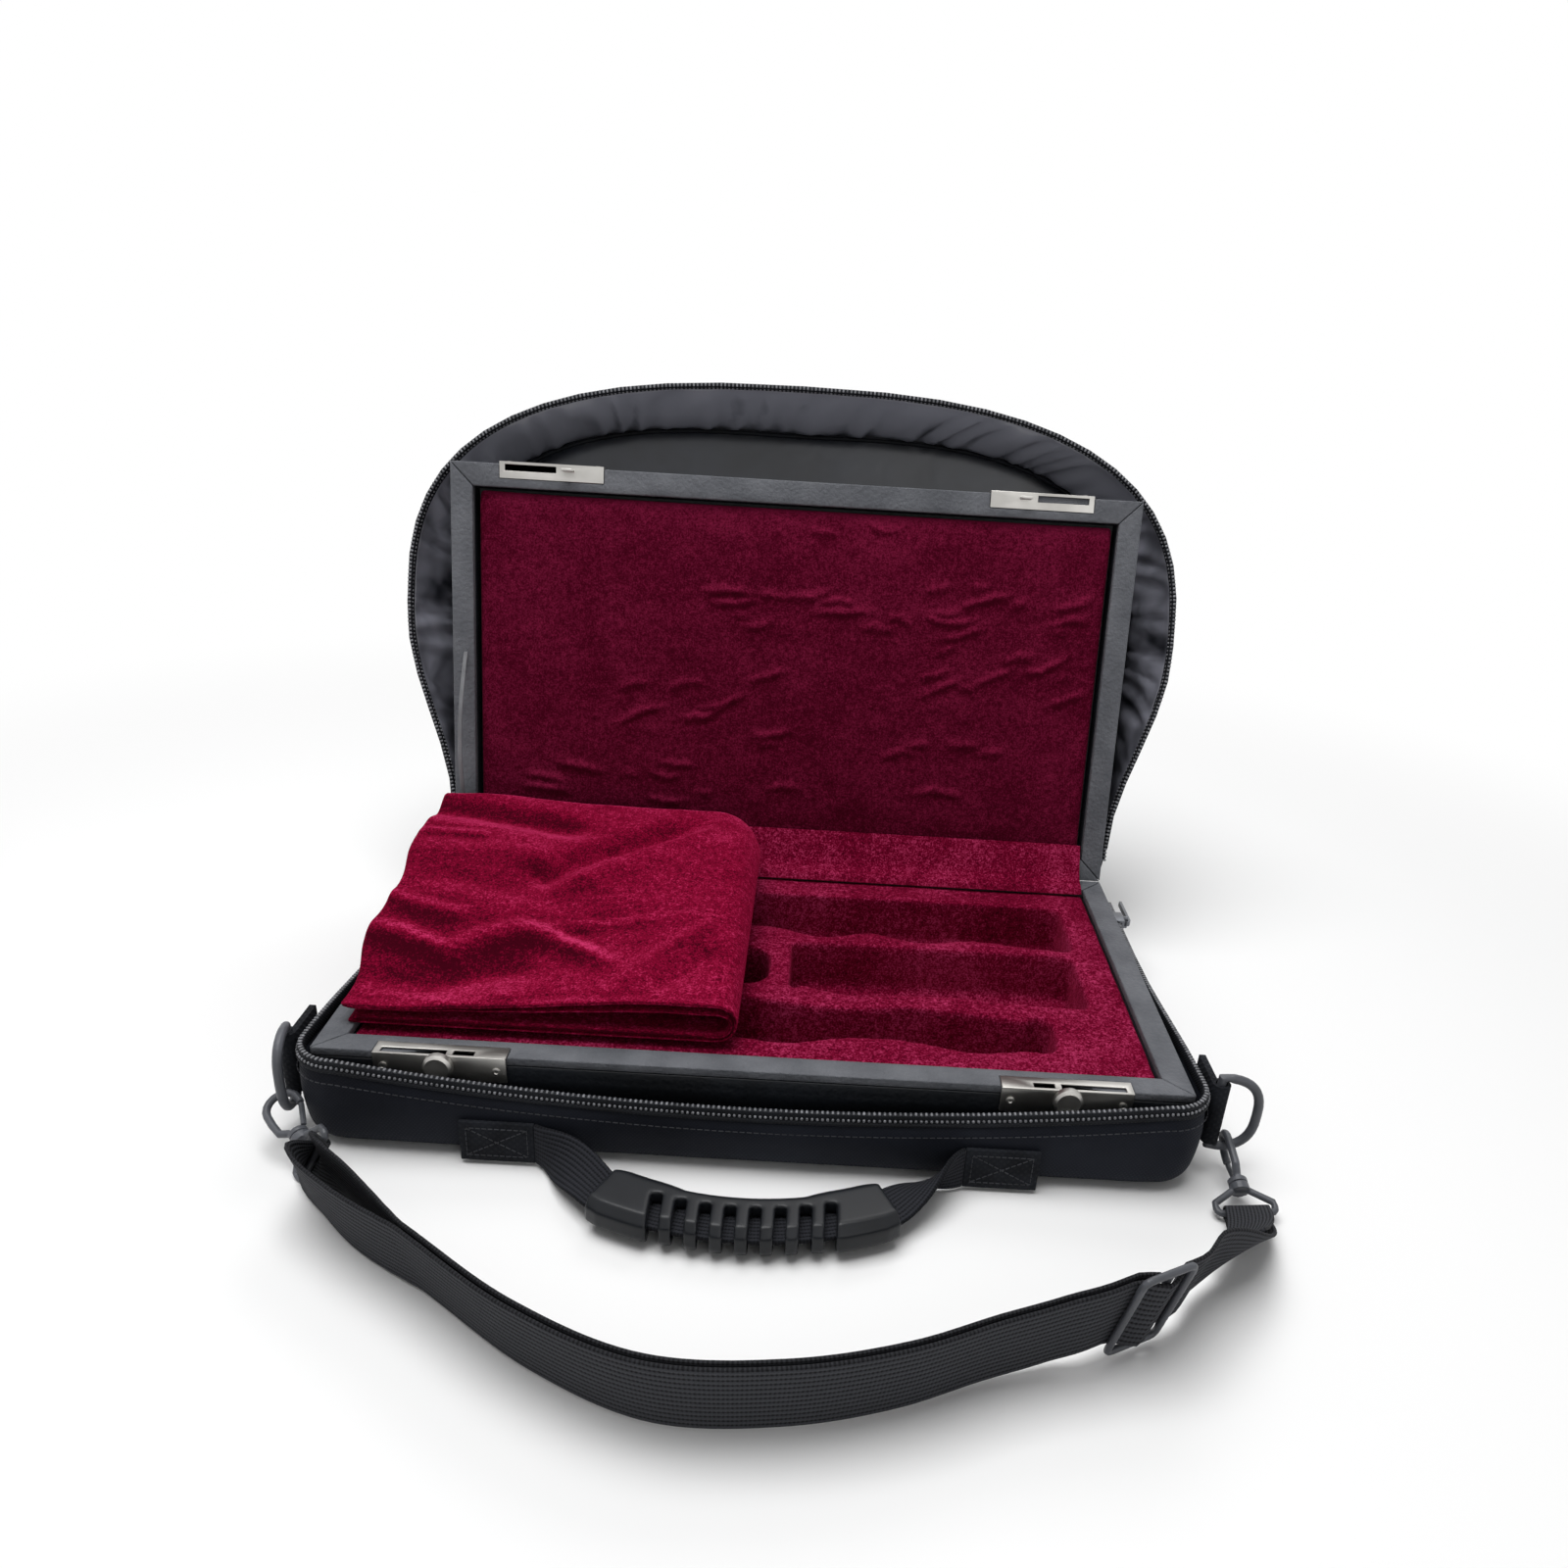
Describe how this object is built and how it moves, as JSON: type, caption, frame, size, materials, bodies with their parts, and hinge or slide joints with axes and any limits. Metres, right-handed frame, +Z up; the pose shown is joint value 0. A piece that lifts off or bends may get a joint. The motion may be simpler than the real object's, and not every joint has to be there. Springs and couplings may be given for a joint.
{
  "type": "oboe case",
  "caption": "Open hard oboe case with a velvet tray and lid lining, latches, a soft zip bag, carrying handle, shoulder strap and folded cloth.",
  "frame": {"origin": "on the table, under the middle of the hard case, on the flat bottom of the bag", "axes": "+X to the right along the case's front, +Y towards the hinge, +Z up"},
  "size_m": [0.4477, 0.4918, 0.3013],
  "materials": {
    "leatherette": "grained",
    "rim_leatherette": "grained matte",
    "velvet": "pile",
    "nickel": "polished nickel",
    "steel": "satin",
    "nylon": "woven",
    "zip": "matte",
    "webbing": "ribbed weave",
    "grip_rubber": "satin",
    "hardware_plastic": "satin",
    "ribbon": "woven"
  },
  "bodies": {
    "base": {"bag_base": "nylon", "bag_zip_base": "zip", "bag_hinge_strip": "nylon", "base_shell": "leatherette", "base_rim_front": "rim_leatherette", "base_rim_back": "rim_leatherette", "base_rim_left": "rim_leatherette", "base_rim_right": "rim_leatherette", "base_tray": "velvet", "hinge_cover": "velvet", "lid_stay": "ribbon", "velvet_cloth": "velvet", "hinge_leaf_base": "steel", "hinge_pin": "steel", "shoulder_strap": "webbing", "strap_slider": "hardware_plastic", "latch_plate_left": "nickel", "latch_plate_right": "nickel", "handle_patch_left": "webbing", "handle_patch_right": "webbing", "strap_tab_left": "webbing", "strap_tab_right": "webbing", "swivel_eye_left": "hardware_plastic", "swivel_eye_right": "hardware_plastic", "zip_slider_left": "steel", "zip_slider_right": "steel"},
    "case_lid": {"lid_shell": "leatherette", "lid_rim_front": "rim_leatherette", "lid_rim_back": "rim_leatherette", "lid_rim_left": "rim_leatherette", "lid_rim_right": "rim_leatherette", "lid_panel": "velvet", "hinge_leaf_lid": "steel", "keeper_left": "nickel", "keeper_right": "nickel"},
    "bag_cover": {"bag_lid_shell": "nylon", "bag_zip_lid": "zip"},
    "carry_handle": {"handle_grip": "grip_rubber", "handle_web_left": "webbing", "handle_web_right": "webbing"},
    "latch_left": {"latch_bolt_left": "steel", "latch_knob_left": "nickel"},
    "ring_left": {"d_ring_left": "hardware_plastic"},
    "hook_left": {"snap_hook_left": "hardware_plastic"},
    "gate_left": {"snap_gate_left": "hardware_plastic"},
    "pull_left": {"zip_pull_left": "steel"},
    "latch_right": {"latch_bolt_right": "steel", "latch_knob_right": "nickel"},
    "ring_right": {"d_ring_right": "hardware_plastic"},
    "hook_right": {"snap_hook_right": "hardware_plastic"},
    "gate_right": {"snap_gate_right": "hardware_plastic"},
    "pull_right": {"zip_pull_right": "steel"}
  },
  "joints": [
    {"name": "case_lid_hinge", "type": "hinge", "parent": "base", "child": "case_lid", "pos_m": [0, 0.107, 0.0453], "axis": [1, 0, 0], "range_deg": [0, 102], "deforming": ["hinge_cover", "lid_stay", "velvet_cloth"]},
    {"name": "bag_lid_hinge", "type": "hinge", "parent": "base", "child": "bag_cover", "pos_m": [0, 0.114, 0.04], "axis": [1, 0, 0], "range_deg": [0, 102], "deforming": ["bag_hinge_strip"]},
    {"name": "handle_hinge", "type": "hinge", "parent": "base", "child": "carry_handle", "pos_m": [0, -0.1215, 0.012], "axis": [1, 0, 0], "range_deg": [-70, 0], "deforming": ["handle_web_left", "handle_web_right"]},
    {"name": "latch_slide_left", "type": "slide", "parent": "base", "child": "latch_left", "axis": [-1, 0, 0], "range_m": [0, 0.003]},
    {"name": "ring_hinge_left", "type": "hinge", "parent": "base", "child": "ring_left", "pos_m": [-0.2025, -0.099, 0.032], "axis": [0, 0, 1], "range_deg": [-4, 4]},
    {"name": "hook_swivel_left", "type": "hinge", "parent": "base", "child": "hook_left", "pos_m": [-0.18912, -0.12834, 0.01457], "axis": [-0.6629, 0.7103, 0.2368], "range_deg": [-6, 6]},
    {"name": "gate_hinge_left", "type": "hinge", "parent": "hook_left", "child": "gate_left", "pos_m": [-0.18913, -0.1236, 0.01677], "axis": [-0.126, -0.4175, 0.8999], "range_deg": [0, 25], "stiffness_Nm_per_rad": 0.02, "springref_deg": -5.73},
    {"name": "pull_hinge_left", "type": "hinge", "parent": "base", "child": "pull_left", "pos_m": [-0.20105, 0.077, 0.0335], "axis": [0, 0, 1], "range_deg": [0, 150]},
    {"name": "latch_slide_right", "type": "slide", "parent": "base", "child": "latch_right", "axis": [1, 0, 0], "range_m": [0, 0.003]},
    {"name": "ring_hinge_right", "type": "hinge", "parent": "base", "child": "ring_right", "pos_m": [0.2025, -0.099, 0.032], "axis": [0, 0, 1], "range_deg": [-4, 4]},
    {"name": "hook_swivel_right", "type": "hinge", "parent": "base", "child": "hook_right", "pos_m": [0.21162, -0.11907, 0.00873], "axis": [-0.0501, 0.9524, 0.3008], "range_deg": [-6, 6]},
    {"name": "gate_hinge_right", "type": "hinge", "parent": "hook_right", "child": "gate_right", "pos_m": [0.21205, -0.1143, 0.00665], "axis": [0.9825, -0.0071, 0.1863], "range_deg": [0, 25], "stiffness_Nm_per_rad": 0.02, "springref_deg": -5.73},
    {"name": "pull_hinge_right", "type": "hinge", "parent": "base", "child": "pull_right", "pos_m": [0.20105, 0.077, 0.0335], "axis": [0, 0, -1], "range_deg": [0, 150]}
  ],
  "couplings": [
    {"joint": "bag_lid_hinge", "follows": "case_lid_hinge", "ratio": 1}
  ]
}
